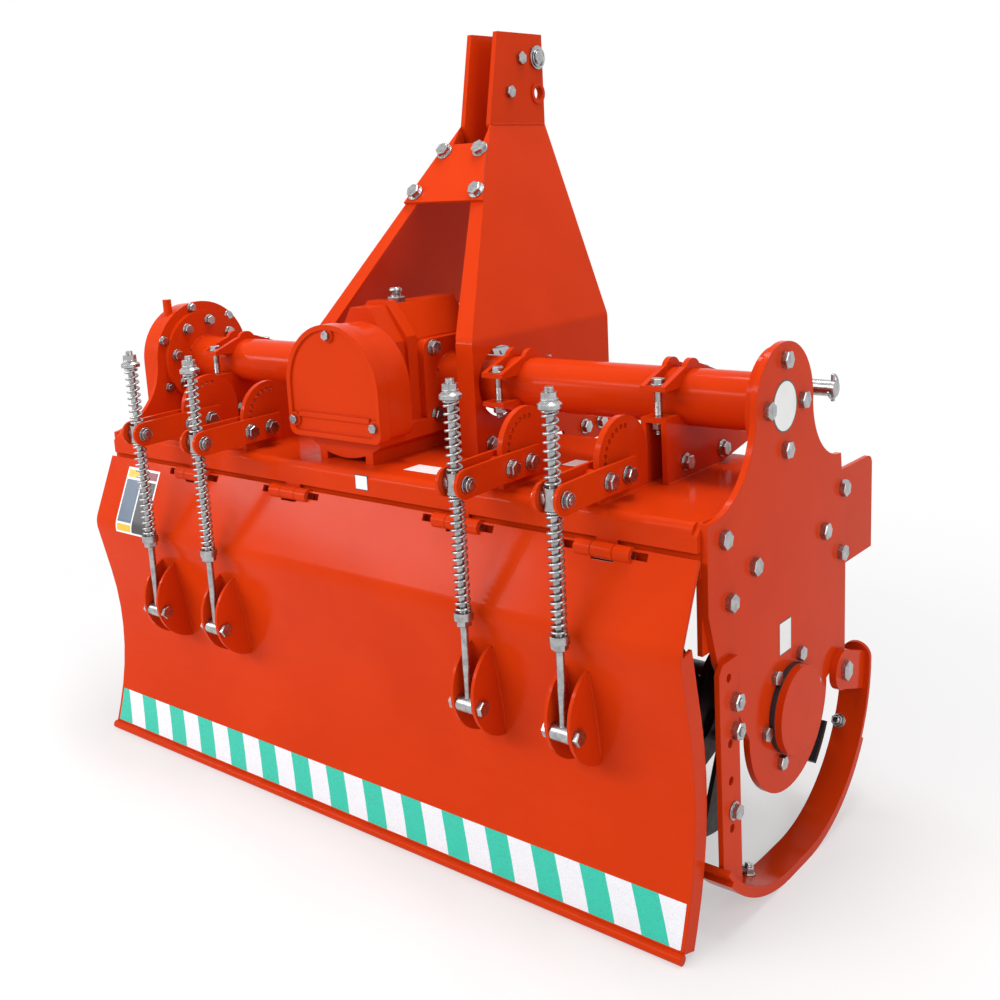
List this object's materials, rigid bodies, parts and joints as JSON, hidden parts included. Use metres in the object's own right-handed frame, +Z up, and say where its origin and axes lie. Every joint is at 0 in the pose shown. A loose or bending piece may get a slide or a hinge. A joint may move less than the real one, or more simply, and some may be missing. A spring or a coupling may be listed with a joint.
{
  "type": "tractor-mounted rotary tiller",
  "caption": "Tractor-mounted rotary tiller with a bladed rotor under a hood, a centre gearbox, a side gear case, a sprung trailing board, skids and a three-point mast.",
  "frame": {"origin": "middle of the bounding box, on the floor under the skids", "axes": "+X to the machine's right, +Y forward towards the tractor, +Z up"},
  "size_m": [1.435, 0.7179, 1.345],
  "materials": {
    "orange_paint": "gloss",
    "zinc": "satin",
    "black_paint": "satin",
    "bare_steel": "satin"
  },
  "bodies": {
    "frame": {"side_plate_right": "orange_paint", "side_plate_left": "orange_paint", "cross_tubes": "orange_paint", "gearbox": "orange_paint", "gearbox_cover": "orange_paint", "gear_case": "orange_paint", "gear_case_cover": "orange_paint", "rotor_bearings": "orange_paint", "hood": "orange_paint", "hinge_pins": "zinc", "arm_quadrants": "orange_paint", "arm_plates": "orange_paint", "mast_leg_right": "orange_paint", "mast_leg_left": "orange_paint", "mast_cross_plate": "orange_paint", "mast_heads": "orange_paint", "top_link_pin": "zinc", "mast_clamps": "orange_paint", "hitch_brackets": "orange_paint", "hitch_pins": "zinc", "hood_end_plates": "orange_paint", "skids": "orange_paint", "skid_struts": "orange_paint"},
    "rotor": {"rotor_shaft": "black_paint", "rotor_blades": "black_paint"},
    "pto": {"pto_shaft": "bare_steel"},
    "board": {"trailing_board": "orange_paint", "board_bar": "orange_paint", "board_lugs": "orange_paint", "lug_pins": "zinc"},
    "swivel_1": {"trunnion_1": "zinc", "upper_spring_1": "zinc", "lower_spring_1": "zinc"},
    "slider_1": {"rod_1": "zinc"},
    "swivel_2": {"trunnion_2": "zinc", "upper_spring_2": "zinc", "lower_spring_2": "zinc"},
    "slider_2": {"rod_2": "zinc"},
    "swivel_3": {"trunnion_3": "zinc", "upper_spring_3": "zinc", "lower_spring_3": "zinc"},
    "slider_3": {"rod_3": "zinc"},
    "swivel_4": {"trunnion_4": "zinc", "upper_spring_4": "zinc", "lower_spring_4": "zinc"},
    "slider_4": {"rod_4": "zinc"}
  },
  "joints": [
    {"name": "rotor_spin", "type": "hinge", "parent": "frame", "child": "rotor", "pos_m": [0.0155, 0, 0.262], "axis": [1, 0, 0], "continuous": true},
    {"name": "pto_spin", "type": "hinge", "parent": "frame", "child": "pto", "pos_m": [-0.0245, 0.15, 0.738], "axis": [0, 1, 0], "continuous": true},
    {"name": "board_hinge", "type": "hinge", "parent": "frame", "child": "board", "pos_m": [0.0155, -0.26, 0.561], "axis": [-1, 0, 0], "range_deg": [0, 25], "stiffness_Nm_per_rad": 1300},
    {"name": "swivel_1_turn", "type": "hinge", "parent": "frame", "child": "swivel_1", "pos_m": [-0.4425, -0.337, 0.652], "axis": [-1, 0, 0], "range_deg": [0, 18.98]},
    {"name": "rod_1_slide", "type": "slide", "parent": "swivel_1", "child": "slider_1", "axis": [0, 0, 1], "range_m": [0, 0.03867], "deforming": ["lower_spring_1"]},
    {"name": "swivel_2_turn", "type": "hinge", "parent": "frame", "child": "swivel_2", "pos_m": [-0.2665, -0.337, 0.652], "axis": [-1, 0, 0], "range_deg": [0, 18.98]},
    {"name": "rod_2_slide", "type": "slide", "parent": "swivel_2", "child": "slider_2", "axis": [0, 0, 1], "range_m": [0, 0.03867], "deforming": ["lower_spring_2"]},
    {"name": "swivel_3_turn", "type": "hinge", "parent": "frame", "child": "swivel_3", "pos_m": [0.3375, -0.337, 0.652], "axis": [-1, 0, 0], "range_deg": [0, 18.98]},
    {"name": "rod_3_slide", "type": "slide", "parent": "swivel_3", "child": "slider_3", "axis": [0, 0, 1], "range_m": [0, 0.03867], "deforming": ["lower_spring_3"]},
    {"name": "swivel_4_turn", "type": "hinge", "parent": "frame", "child": "swivel_4", "pos_m": [0.5135, -0.337, 0.652], "axis": [-1, 0, 0], "range_deg": [0, 18.98]},
    {"name": "rod_4_slide", "type": "slide", "parent": "swivel_4", "child": "slider_4", "axis": [0, 0, 1], "range_m": [0, 0.03867], "deforming": ["lower_spring_4"]}
  ],
  "couplings": [
    {"joint": "pto_spin", "follows": "rotor_spin", "ratio": 2.6},
    {"joint": "swivel_1_turn", "follows": "board_hinge", "ratio": 0.759},
    {"joint": "rod_1_slide", "follows": "board_hinge", "m_per_rad": 0.0884},
    {"joint": "swivel_2_turn", "follows": "board_hinge", "ratio": 0.759},
    {"joint": "rod_2_slide", "follows": "board_hinge", "m_per_rad": 0.0884},
    {"joint": "swivel_3_turn", "follows": "board_hinge", "ratio": 0.759},
    {"joint": "rod_3_slide", "follows": "board_hinge", "m_per_rad": 0.0884},
    {"joint": "swivel_4_turn", "follows": "board_hinge", "ratio": 0.759},
    {"joint": "rod_4_slide", "follows": "board_hinge", "m_per_rad": 0.0884}
  ]
}
